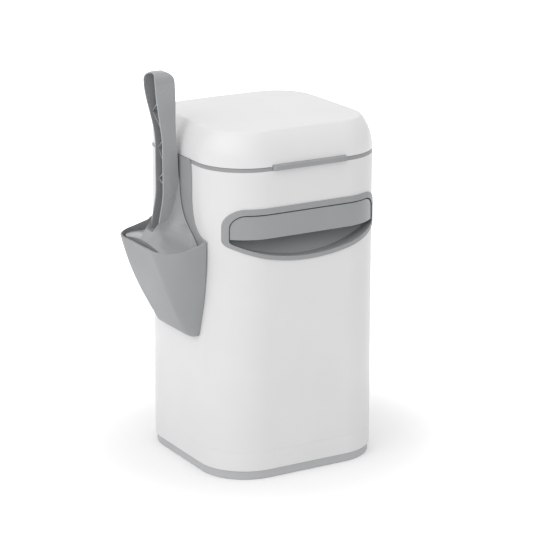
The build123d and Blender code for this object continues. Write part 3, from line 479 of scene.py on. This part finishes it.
def add_neck(form):
    """Thin shell that flares from the pan into the grip, with a sloping roof and round corners."""
    rows = NECK_ROWS
    shrink = (ROOF_HALF - SCOOP_T) / ROOF_HALF
    outer, inner = [], []
    for row in range(2 * rows + 1):
        share = 1 - (1 - row / rows) ** 3 if row < rows else row / rows
        first, second = (NECK_BACK, NECK_RAIL) if share <= 1 else (NECK_RAIL, NECK_RIM)
        part = share if share <= 1 else share - 1
        if share <= 1:
            x = BACK_X + (RAIL_X - BACK_X) * row / rows
        else:
            x = RAIL_X + (ROOF_RIM_X - RAIL_X) * part
        into = max(0.0, ROOF_RIM_X + ROOF_CORNER - x)
        arc = math.sqrt(ROOF_CORNER ** 2 - min(into, ROOF_CORNER) ** 2)
        plan = (ROOF_HALF - ROOF_CORNER + arc) / ROOF_HALF
        right = []
        for step in range(NECK_STEPS + 1):
            t = step / NECK_STEPS
            a, b = on_curve(first, t), on_curve(second, t)
            right.append(((a[0] + (b[0] - a[0]) * part) * plan, a[1] + (b[1] - a[1]) * part))
        floor = WELL_BACK_Z + (WELL_RAIL_Z - WELL_BACK_Z) * min(share, 1.0)
        floor = min(floor, right[-1][1] - WELL_SPARE) if share > 1 else floor
        right.append((right[-1][0] - SCOOP_T, floor))
        line = right + [(0.0, floor)] + [(-y, z) for y, z in reversed(right)]
        outer.append([(x, y, z) for y, z in line])
        if share < 1:
            inset_x = x - SCOOP_T * (1 - share / 2)
        else:
            inset_x = x + (SCOOP_T * part if share > 1 else 0.0)
        inner.append([(inset_x, y * shrink, min(z - SCOOP_T, NECK_CEILING)) for y, z in line])
    out = [[form.verts.new(p) for p in row] for row in outer]
    hid = [[form.verts.new(p) for p in row] for row in inner]
    for a, b in zip(out, out[1:]):
        quads(form, a, b, closed=False)
    for a, b in zip(hid, hid[1:]):
        quads(form, b, a, closed=False)

    def edge_ring(grid):
        ring = list(grid[0]) + [row[-1] for row in grid[1:]]
        return ring + list(reversed(grid[-1][:-1])) + [row[0] for row in reversed(grid[1:-1])]

    top, under = edge_ring(out), edge_ring(hid)
    foot = [form.verts.new((v.co.x, v.co.y, PAN_TOP)) for v in top]
    lip = [form.verts.new((v.co.x, v.co.y, PAN_TOP)) for v in under]
    quads(form, top, foot)
    quads(form, foot, lip)
    quads(form, lip, under)


def grip_section(z):
    """(back, front, half width) of the grip at one height, before its top is rounded."""
    lean = GRIP_LEAN * (max(0.0, z - LEAN_FROM) / (GRIP_TOP - LEAN_FROM)) ** LEAN_POWER
    front = GRIP_DEPTH + FOOT_OUT * (1 - between(z, FOOT_FROM, FOOT_TO))
    front += HEAD_OUT * between(z, HEAD_OUT_FROM, HEAD_OUT_TO)
    half = GRIP_HALF + HEAD_WIDER * between(z, WIDER_FROM, WIDER_TO)
    return BACK_X - lean, -front, half


def add_grip(form):
    """Channel that opens outward, closed at its top by a round loop."""
    side_r, front_r = GRIP_SIDE_R, GRIP_FRONT_R
    ceiling = GRIP_TOP - SCOOP_T
    levels = [GRIP_LOW_Z + k * GRIP_STEP for k in range(GRIP_STEPS)]
    levels += [GRIP_HEAD_Z + (ceiling - GRIP_HEAD_Z) * k / GRIP_HEAD_STEPS
               for k in range(GRIP_HEAD_STEPS + 1)]
    rows = []
    for z in levels + [ceiling, ceiling + 0.9 * MM, ceiling + 1.6 * MM, GRIP_TOP]:
        back, front, half = grip_section(z)
        rise_x, rise_y = max(0.0, z - GRIP_TOP + side_r), max(0.0, z - GRIP_TOP + front_r)
        drop_x = side_r - math.sqrt(max(side_r ** 2 - rise_x ** 2, 0.0))
        drop_y = front_r - math.sqrt(max(front_r ** 2 - rise_y ** 2, 0.0))
        in_x = side_r - math.sqrt(max((side_r - SCOOP_T) ** 2 - rise_x ** 2, 0.0))
        in_y = front_r - math.sqrt(max((front_r - SCOOP_T) ** 2 - rise_y ** 2, 0.0))
        solid = len(rows) >= len(levels)
        if solid:       # above the channel its walls close up
            deep = front + drop_x + 0.01 * MM
            room = max(half - drop_y - SCOOP_T, 0.4 * MM)
        else:
            deep, room = back - in_x, max(half - in_y, 0.5 * MM)
        half, back, front = half - drop_y, back - drop_x, front + drop_x
        ring = [(back, -half), (back, half), (front, half), (front, room), (deep, room),
                (deep, -room), (front, -room), (front, -half)]
        rows.append([form.verts.new((x, y, z)) for x, y in ring])
    for a, b in zip(rows, rows[1:]):
        quads(form, a, b)
    form.faces.new(rows[-1])
    form.faces.new(list(reversed(rows[0])))


def add_ribs(form):
    """V-shaped ribs across the channel, set in from the rails."""
    for high, point, low in RIBS:
        for end in (high, low):
            corners = []
            for side, level in ((-1, end), (1, point)):
                z = level * MM
                back, front, half = grip_section(z)
                for x in (back - SCOOP_T / 2, front + RIB_IN):
                    for dz in (-RIB_HALF_T, RIB_HALF_T):
                        corners.append(form.verts.new((x, side * (half - SCOOP_T / 2), z + dz)))
            a, b, c, d, e, f, g, h = corners
            for face in ((a, b, d, c), (e, g, h, f), (a, e, f, b), (c, d, h, g),
                         (a, c, g, e), (b, f, h, d)):
                form.faces.new(face)


def scoop_piece():
    """The scoop: its slotted pan as built, under a moulded neck, roof and ribbed grip."""
    mesh = frame["nodes"]["scoop"].data.copy()
    form = bmesh.new()
    form.from_mesh(mesh)
    bmesh.ops.remove_doubles(form, verts=form.verts, dist=WELD)
    cut = bmesh.ops.bisect_plane(form, geom=everything(form),
                                 plane_co=(0, 0, PAN_TOP), plane_no=(0, 0, 1), clear_outer=True)
    rim = [item for item in cut["geom_cut"] if isinstance(item, bmesh.types.BMEdge)]
    bmesh.ops.triangle_fill(form, edges=rim, use_beauty=True, normal=(0, 0, 1))
    for make in (add_neck, add_grip, add_ribs):
        part = bmesh.new()
        make(part)
        bmesh.ops.recalc_face_normals(part, faces=part.faces)
        spare = bpy.data.meshes.new("scoop_part")
        part.to_mesh(spare)
        part.free()
        form.from_mesh(spare)
        bpy.data.meshes.remove(spare)
    bmesh.ops.dissolve_limit(form, angle_limit=FLAT, verts=form.verts, edges=form.edges)
    for face in form.faces:
        face.smooth = True
    form.to_mesh(mesh)
    form.free()
    mesh.name = "scoop_moulding"
    piece = put("scoop_moulding", mesh, "scoop", pp_gloss_grey, ["scoop"])
    soften_edges(piece, 0.6)


scoop_piece()


# ---- Geometry Nodes helpers ----
MATH = "ShaderNodeMath"
VECTOR = "ShaderNodeCombineXYZ"
MOVE = "GeometryNodeTransform"
CIRCLE = "GeometryNodeCurvePrimitiveCircle"
TIMES = {"operation": "MULTIPLY"}
OVER = {"operation": "DIVIDE"}
LESS = {"operation": "SUBTRACT"}
PLUS = {"operation": "ADD"}
POWER = {"operation": "POWER"}
LARGER = {"operation": "MAXIMUM"}


def new_tree(name, inputs):
    """A Geometry Nodes tree with a mesh coming in, named number inputs and a mesh going out."""
    tree = bpy.data.node_groups.new(name, "GeometryNodeTree")
    tree.interface.new_socket("Geometry", in_out="INPUT", socket_type="NodeSocketGeometry")
    for label, value in inputs.items():
        kind = "NodeSocketInt" if isinstance(value, int) else "NodeSocketFloat"
        tree.interface.new_socket(label, in_out="INPUT", socket_type=kind).default_value = value
    tree.interface.new_socket("Geometry", in_out="OUTPUT", socket_type="NodeSocketGeometry")
    return tree, add(tree, "NodeGroupInput").outputs


def end_tree(tree, geometry, material):
    """Makes the copies real, gives them their material and passes them out."""
    real = add(tree, "GeometryNodeRealizeInstances", links={0: geometry})
    dressed = add(tree, "GeometryNodeSetMaterial", {}, {"Material": material},
                  {"Geometry": real.outputs[0]})
    add(tree, "NodeGroupOutput", links={0: dressed.outputs[0]})


def grown(name, points, tree, sizes):
    """Runs a tree on a few points and returns the result as a plain mesh."""
    seed = bpy.data.meshes.new(name + "_points")
    seed.from_pydata(points, [], [])
    carrier = bpy.data.objects.new(name + "_points", seed)
    bpy.context.scene.collection.objects.link(carrier)
    modifier = carrier.modifiers.new("make", "NODES")
    modifier.node_group = tree
    for item in tree.interface.items_tree:
        if item.in_out == "INPUT" and item.name in sizes:
            modifier[item.identifier] = sizes[item.name]
    evaluated = carrier.evaluated_get(bpy.context.evaluated_depsgraph_get())
    mesh = bpy.data.meshes.new_from_object(evaluated)
    mesh.name = name
    carrier.modifiers.remove(modifier)
    bpy.data.objects.remove(carrier)
    bpy.data.meshes.remove(seed)
    return mesh


# ---- Screws ----
CROWN_FALL = 0.55        # how far the crown falls at the rim, as a share of CROWN_DEEP
CROWN_DEEP = 0.8         # of the head's height
RECESS = (1.05, 0.26, 1.1)    # the cross: its length and width in head radii, its depth in heights
THREAD_IN = 0.34         # how far the thread's root stands in, in shank radii
TIP_FROM = 0.36          # where the tip begins, as a share of the length from the middle
TIP_TAPER = 3.0


def screw_tree(material):
    """Pan-head screws: domed head with a cross recess, and a shank with a rolled thread."""
    tree, size = new_tree("screw_maker", {
        "Head Radius": 0.0035, "Head Height": 0.0024, "Shank Radius": 0.0016, "Length": 0.012,
        "Pitch": 0.0012, "Turn Over": 0.0,
    })
    radius, height, length = size["Head Radius"], size["Head Height"], size["Length"]
    position = add(tree, "GeometryNodeInputPosition")
    parts = add(tree, "ShaderNodeSeparateXYZ", links={0: position}).outputs
    square_x = add(tree, MATH, POWER, {1: 2.0}, {0: parts[0]})
    square_y = add(tree, MATH, POWER, {1: 2.0}, {0: parts[1]})
    squares = add(tree, MATH, PLUS, {}, {0: square_x, 1: square_y})
    out = add(tree, MATH, {"operation": "SQRT"}, {}, {0: squares})
    # The head, its crown rounded off towards the rim
    head = add(tree, "GeometryNodeMeshCylinder", {"fill_type": "TRIANGLE_FAN"},
               {"Vertices": 32, "Side Segments": 3, "Fill Segments": 6},
               {"Radius": radius, "Depth": height})
    share = add(tree, MATH, OVER, {}, {0: out, 1: radius})
    cubed = add(tree, MATH, POWER, {1: 3.0}, {0: share})
    crown = add(tree, MATH, {"operation": "LESS_THAN"}, {1: 0.0}, {0: parts[2]})
    crown = add(tree, MATH, TIMES, {1: CROWN_FALL}, {0: crown})
    fall = add(tree, MATH, TIMES, {}, {0: cubed, 1: crown})
    most = add(tree, MATH, TIMES, {1: CROWN_DEEP}, {0: height})
    fall = add(tree, MATH, TIMES, {}, {0: fall, 1: most})
    drop = add(tree, VECTOR, links={2: fall})
    domed = add(tree, "GeometryNodeSetPosition", links={0: head, "Offset": drop})
    # The cross recess
    wide = add(tree, MATH, TIMES, {1: RECESS[0]}, {0: radius})
    thin = add(tree, MATH, TIMES, {1: RECESS[1]}, {0: radius})
    deep = add(tree, MATH, TIMES, {1: RECESS[2]}, {0: height})
    cross = add(tree, "GeometryNodeMeshBoolean", {"operation": "UNION"})
    for first, second in ((wide, thin), (thin, wide)):
        reach = add(tree, VECTOR, links={0: first, 1: second, 2: deep})
        wing = add(tree, "GeometryNodeMeshCube", links={"Size": reach})
        tree.links.new(wing.outputs[0], cross.inputs[1])
    half_down = add(tree, MATH, TIMES, {1: -0.5}, {0: height})
    low = add(tree, VECTOR, links={2: half_down})
    lowered = add(tree, MOVE, links={0: cross, "Translation": low})
    cut = add(tree, "GeometryNodeMeshBoolean", {"operation": "DIFFERENCE"},
              links={0: domed, 1: lowered})
    seated = add(tree, MOVE, links={0: cut, "Translation": low})
    # The shank: the thread stands in from the full radius, and the tip tapers
    shank = add(tree, "GeometryNodeMeshCylinder", {"fill_type": "TRIANGLE_FAN"},
                {"Vertices": 20, "Side Segments": 72},
                {"Radius": size["Shank Radius"], "Depth": length})
    turn = add(tree, MATH, {"operation": "ARCTAN2"}, {}, {0: parts[1], 1: parts[0]})
    turn = add(tree, MATH, OVER, {1: math.tau}, {0: turn})
    rise = add(tree, MATH, OVER, {}, {0: parts[2], 1: size["Pitch"]})
    rise = add(tree, MATH, LESS, {}, {0: rise, 1: turn})
    wave = add(tree, MATH, {"operation": "PINGPONG"}, {1: 0.5}, {0: rise})
    tip_low = add(tree, MATH, TIMES, {1: TIP_FROM}, {0: length})
    near_tip = add(tree, MATH, LESS, {}, {0: parts[2], 1: tip_low})
    tip = add(tree, MATH, OVER, {}, {0: near_tip, 1: length})
    tip = add(tree, MATH, LARGER, {1: 0.0}, {0: tip})
    thread = add(tree, MATH, TIMES, {1: THREAD_IN}, {0: wave})
    taper = add(tree, MATH, TIMES, {1: TIP_TAPER}, {0: tip})
    draw_in = add(tree, MATH, PLUS, {}, {0: thread, 1: taper})
    keep = add(tree, MATH, LESS, {0: 1.0}, {1: draw_in})
    kept_x = add(tree, MATH, TIMES, {}, {0: parts[0], 1: keep})
    kept_y = add(tree, MATH, TIMES, {}, {0: parts[1], 1: keep})
    kept = add(tree, VECTOR, links={0: kept_x, 1: kept_y, 2: parts[2]})
    threaded = add(tree, "GeometryNodeSetPosition", links={0: shank, "Position": kept})
    half_up = add(tree, MATH, TIMES, {1: 0.5}, {0: length})
    up = add(tree, VECTOR, links={2: half_up})
    raised = add(tree, MOVE, links={0: threaded, "Translation": up})
    whole = add(tree, "GeometryNodeJoinGeometry")
    for part in (seated, raised):
        tree.links.new(part.outputs[0], whole.inputs[0])
    # One at each point, head down or head up
    over = add(tree, MATH, TIMES, {1: math.pi}, {0: size["Turn Over"]})
    flip = add(tree, VECTOR, links={0: over})
    rows = add(tree, "GeometryNodeInstanceOnPoints",
               links={"Points": size["Geometry"], "Instance": whole, "Rotation": flip})
    end_tree(tree, rows, material)
    return tree


SCREW_HEAD_R = 3.5 * MM
SCREW_HEAD_H = 2.4 * MM
SCREW_EASE = 0.4 * MM     # keeps a downward head's crown off the floor


def screws(node, tree, head_up):
    """The four screws of one CAD node, at the corners of its box."""
    low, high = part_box(node)
    seat = high[2] - SCREW_HEAD_H if head_up else low[2] + SCREW_HEAD_H + SCREW_EASE
    places = [(x, y, seat) for x in (low[0] + SCREW_HEAD_R, high[0] - SCREW_HEAD_R)
              for y in (low[1] + SCREW_HEAD_R, high[1] - SCREW_HEAD_R)]
    sizes = {"Length": high[2] - low[2] - SCREW_HEAD_H, "Turn Over": 1.0 if head_up else 0.0}
    mesh = grown(node + "_threaded", places, tree, sizes)
    mesh.shade_smooth()
    piece = put(node + "_threaded", mesh, BODY_OF[node], zinc_steel, [node])
    shading = piece.modifiers.new("edges", "EDGE_SPLIT")
    shading.split_angle = math.radians(38)


threaded_screw = screw_tree(zinc_steel)
screws("base_screws", threaded_screw, head_up=False)
screws("deck_screws", threaded_screw, head_up=True)
screws("arm_screws", threaded_screw, head_up=False)


# ---- Return springs ----
COIL_PITCH = 2.04        # from one turn to the next, in wire radii
LEG_END = 2.2            # where the leg ends, in hook radii from the spring's end
EYE_MIDDLE = 1.17        # and where the eye's middle is


def spring_tree(material):
    """A close-wound spring along Y that ends in a round hook at each end."""
    tree, size = new_tree("spring_maker", {
        "Mean Radius": 0.0027, "Wire": 0.00045, "Turns": 34, "Reach": 0.055, "Hook": 0.0027,
    })
    mean, hook = size["Mean Radius"], size["Hook"]
    pitch = add(tree, MATH, TIMES, {1: COIL_PITCH}, {0: size["Wire"]})
    wound = add(tree, MATH, TIMES, {}, {0: pitch, 1: size["Turns"]})
    coil = add(tree, "GeometryNodeCurveSpiral", {}, {"Resolution": 20},
               {"Rotations": size["Turns"], "Start Radius": mean, "End Radius": mean,
                "Height": wound})
    half_down = add(tree, MATH, TIMES, {1: -0.5}, {0: wound})
    centred = add(tree, VECTOR, links={2: half_down})
    lines = [add(tree, MOVE, links={0: coil, "Translation": centred})]
    half_wound = add(tree, MATH, TIMES, {1: 0.5}, {0: wound})
    half_reach = add(tree, MATH, TIMES, {1: 0.5}, {0: size["Reach"]})
    turned = {"Rotation": (math.pi / 2, 0.0, 0.0)}
    for side in (1.0, -1.0):
        # From the last turn out to the axis, along to the hook, and the hook's eye
        foot_z = add(tree, MATH, TIMES, {1: side}, {0: half_wound})
        foot = add(tree, VECTOR, links={0: mean, 2: foot_z})
        back = add(tree, MATH, TIMES, {1: LEG_END}, {0: hook})
        inner = add(tree, MATH, LESS, {}, {0: half_reach, 1: back})
        neck_z = add(tree, MATH, TIMES, {1: side}, {0: inner})
        neck = add(tree, VECTOR, links={2: neck_z})
        lines.append(add(tree, "GeometryNodeCurvePrimitiveLine",
                         links={"Start": foot, "End": neck}))
        eye = add(tree, CIRCLE, {}, {"Resolution": 24}, {"Radius": hook})
        back = add(tree, MATH, TIMES, {1: EYE_MIDDLE}, {0: hook})
        middle = add(tree, MATH, LESS, {}, {0: half_reach, 1: back})
        middle_z = add(tree, MATH, TIMES, {1: side}, {0: middle})
        place = add(tree, VECTOR, links={2: middle_z})
        lines.append(add(tree, MOVE, {}, turned, {0: eye, "Translation": place}))
    joined = add(tree, "GeometryNodeJoinGeometry")
    for line in lines:
        tree.links.new(line.outputs[0], joined.inputs[0])
    section = add(tree, CIRCLE, {}, {"Resolution": 8}, {"Radius": size["Wire"]})
    wire = add(tree, "GeometryNodeCurveToMesh", {}, {"Fill Caps": True},
               {"Curve": joined, "Profile Curve": section})
    laid = add(tree, "GeometryNodeInstanceOnPoints", {}, turned,
               {"Points": size["Geometry"], "Instance": wire})
    end_tree(tree, laid, material)
    return tree


WIRE_R = 0.45 * MM
wound_spring = spring_tree(spring_steel)
for side in ("left", "right"):
    node = "return_spring_" + side
    low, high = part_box(node)
    middle = [(a + b) / 2 for a, b in zip(low, high)]
    sizes = {"Mean Radius": (high[0] - low[0]) / 2 - WIRE_R, "Wire": WIRE_R,
             "Reach": high[1] - low[1]}
    mesh = grown(node + "_wound", [tuple(middle)], wound_spring, sizes)
    mesh.shade_smooth()
    mesh.materials.clear()
    mesh.materials.append(spring_steel)
    piece = bpy.data.objects.new(node + "_wound", mesh)
    bpy.context.scene.collection.objects.link(piece)
    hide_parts(node)
    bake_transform(piece)


# ---- Film in the refill ----
PLEATS = 13              # folds of film, one on another
PLEAT_IN = 1.6 * MM      # how far a fold's inner edge is drawn back
PLEAT_SAG = 0.9 * MM     # the most that a fold sags
TROUGH_R = 43.0 * MM     # corner radius of the film's outside
TUBE_HALF = (58.3 * MM, 55.3 * MM)
TUBE_R = 30.3 * MM
TUBE_Y = -5.0 * MM       # the throat stands this far forward


def outline(half_x, half_y, radius, middle_y, steps=9):
    """Points round a rounded rectangle, anticlockwise."""
    points = []
    for corner in range(4):
        sign_x, sign_y = ((1, 1), (-1, 1), (-1, -1), (1, -1))[corner]
        for step in range(steps + 1):
            angle = math.pi / 2 * (corner + step / steps)
            points.append((sign_x * (half_x - radius) + radius * math.cos(angle),
                           middle_y + sign_y * (half_y - radius) + radius * math.sin(angle)))
    return points


def film_pack():
    """Thin tube of film folded back and forth in the trough; each fold sags differently."""
    low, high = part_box("film_pack")
    half = [(high[i] - low[i]) / 2 for i in (0, 1)]
    outside = outline(half[0], half[1], TROUGH_R, (low[1] + high[1]) / 2)
    inside = outline(*TUBE_HALF, TUBE_R, TUBE_Y)
    count = len(outside)
    form = bmesh.new()
    rows = []
    for level in range(2 * PLEATS + 1):
        share = level / (2 * PLEATS)
        back = PLEAT_IN if level % 2 else 0.0
        row = []
        for index, (a, b) in enumerate(zip(inside, outside)):
            toward = (Vector(b) - Vector(a)).normalized()
            sag = 0.5 + 0.5 * math.sin(index * 1.7 + level * 2.3) * math.cos(index * 0.6 - level)
            x, y = Vector(a) + toward * (back + PLEAT_SAG * sag)
            row.append(form.verts.new((x, y, low[2] + (high[2] - low[2]) * share)))
        rows.append(row)
    rows.append([form.verts.new((x, y, high[2])) for x, y in outside])
    rows.append([form.verts.new((x, y, low[2])) for x, y in outside])
    rows.append(rows[0])
    for first, second in zip(rows, rows[1:]):
        for index in range(count):
            after = (index + 1) % count
            form.faces.new((first[index], second[index], second[after], first[after]))
    bmesh.ops.recalc_face_normals(form, faces=form.faces)
    for face in form.faces:
        face.smooth = True
    mesh = bpy.data.meshes.new("film_pack_pleated")
    form.to_mesh(mesh)
    form.free()
    piece = put("film_pack_pleated", mesh, "pail", pe_film, ["film_pack"])
    shading = piece.modifiers.new("edges", "EDGE_SPLIT")
    shading.split_angle = math.radians(50)


film_pack()


# ---- Studio ----
def lamp(name, place, aim, size, power):
    """A large soft box."""
    light = bpy.data.lights.new(name, "AREA")
    light.shape = "RECTANGLE"
    light.size, light.size_y = size
    light.energy = power
    holder = bpy.data.objects.new(name, light)
    bpy.context.scene.collection.objects.link(holder)
    holder.location = place
    holder.rotation_euler = (Vector(aim) - Vector(place)).to_track_quat("-Z", "Y").to_euler()


lamp("left_box", (-2.5, -0.4, 1.9), (0, 0, 0.2), (2.2, 1.9), 17)
lamp("front_box", (-1.7, -2.0, 1.9), (0, 0, 0.2), (2.1, 1.8), 10)
lamp("top_box", (0.2, -0.1, 2.6), (0, 0, 0.2), (2.2, 2.2), 8)

SEEN_WHITE = 1.0         # the backdrop as the eye and reflections see it
SKY_FILL = 0.67          # the same room as it lights the pail
FLOOR_HALF = 6.0
FLOOR_LIFT = 0.19        # what brings the lit paper up to white for the eye, beside the pail
LIFT_FROM = 0.14         # from here the lift grows
LIFT_TO = 0.48           # and from here the paper is as white as the room


def seen_rays(tree):
    """The light path node's answer to: is this surface looked at, mirrored or seen through?"""
    ray = add(tree, "ShaderNodeLightPath")
    seen = add(tree, "ShaderNodeMath", {"operation": "MAXIMUM"}, {},
               {0: ray.outputs["Is Camera Ray"], 1: ray.outputs["Is Glossy Ray"]})
    return add(tree, "ShaderNodeMath", {"operation": "MAXIMUM"}, {},
               {0: seen.outputs[0], 1: ray.outputs["Is Transmission Ray"]})


def white_room():
    """White for the eye and for reflections, softer as a source of light."""
    world = bpy.data.worlds.new("white_room")
    bpy.context.scene.world = world
    world.use_nodes = True
    tree = world.node_tree
    tree.nodes.clear()
    seen = seen_rays(tree)
    strength = add(tree, "ShaderNodeMapRange", links={"Value": seen.outputs[0]},
                   values={"To Min": SKY_FILL, "To Max": SEEN_WHITE})
    room = add(tree, "ShaderNodeBackground", values={"Color": (1, 1, 1, 1)},
               links={"Strength": strength.outputs[0]})
    add(tree, "ShaderNodeOutputWorld", links={"Surface": room.outputs[0]})


def studio_floor():
    """A white paper sweep that keeps the pail's shadow."""
    mesh = bpy.data.meshes.new("studio_floor")
    half = FLOOR_HALF
    mesh.from_pydata([(-half, -half, 0), (half, -half, 0), (half, half, 0), (-half, half, 0)], [],
                     [(0, 1, 2, 3)])
    material, tree = new_material("paper_sweep")
    place = add(tree, "ShaderNodeTexCoord").outputs["Object"]
    fibre = add(tree, "ShaderNodeTexNoise", links={"Vector": place},
                values={"Scale": per_metre(2), "Detail": 3.0})
    tone = add(tree, "ShaderNodeMix", {"data_type": "RGBA"},
               {6: linear("#EDEDED"), 7: linear("#EFEFEF")}, {0: fibre.outputs["Fac"]})
    paper = add(tree, "ShaderNodeBsdfDiffuse", links={"Color": tone.outputs[2]})
    seen = seen_rays(tree)
    away = add(tree, "ShaderNodeVectorMath", {"operation": "LENGTH"}, links={0: place})
    whiten = add(tree, "ShaderNodeMapRange", {"interpolation_type": "SMOOTHSTEP"},
                 {"From Min": LIFT_FROM, "From Max": LIFT_TO, "To Min": FLOOR_LIFT, "To Max": 1.0},
                 {"Value": away.outputs["Value"]})
    lift = add(tree, "ShaderNodeMath", {"operation": "MULTIPLY"}, {},
               {0: seen.outputs[0], 1: whiten.outputs[0]})
    glow = add(tree, "ShaderNodeEmission", links={"Strength": lift.outputs[0]})
    both = add(tree, "ShaderNodeAddShader", links={0: paper.outputs[0], 1: glow.outputs[0]})
    add(tree, "ShaderNodeOutputMaterial", links={"Surface": both.outputs[0]})
    mesh.materials.append(material)
    floor = bpy.data.objects.new("studio_floor", mesh)
    bpy.context.scene.collection.objects.link(floor)


white_room()
studio_floor()


# ---- Camera ----
CAMERA_PLACE = (-1.39912, -2.42369, 1.04675)
CAMERA_DOWN, CAMERA_TURN = 16.29, -30.12          # degrees
FOCAL_LENGTH, SENSOR = 160.6, 36.0                # millimetres


def camera():
    """A long lens from the front left, a little above the lid."""
    lens = bpy.data.cameras.new("camera")
    lens.sensor_width = SENSOR
    lens.lens = FOCAL_LENGTH
    lens.clip_end = 50.0
    holder = bpy.data.objects.new("camera", lens)
    bpy.context.scene.collection.objects.link(holder)
    holder.location = CAMERA_PLACE
    holder.rotation_euler = (math.radians(90.0 - CAMERA_DOWN), 0.0, math.radians(CAMERA_TURN))
    bpy.context.scene.camera = holder


camera()
bpy.context.scene.view_settings.view_transform = "Standard"
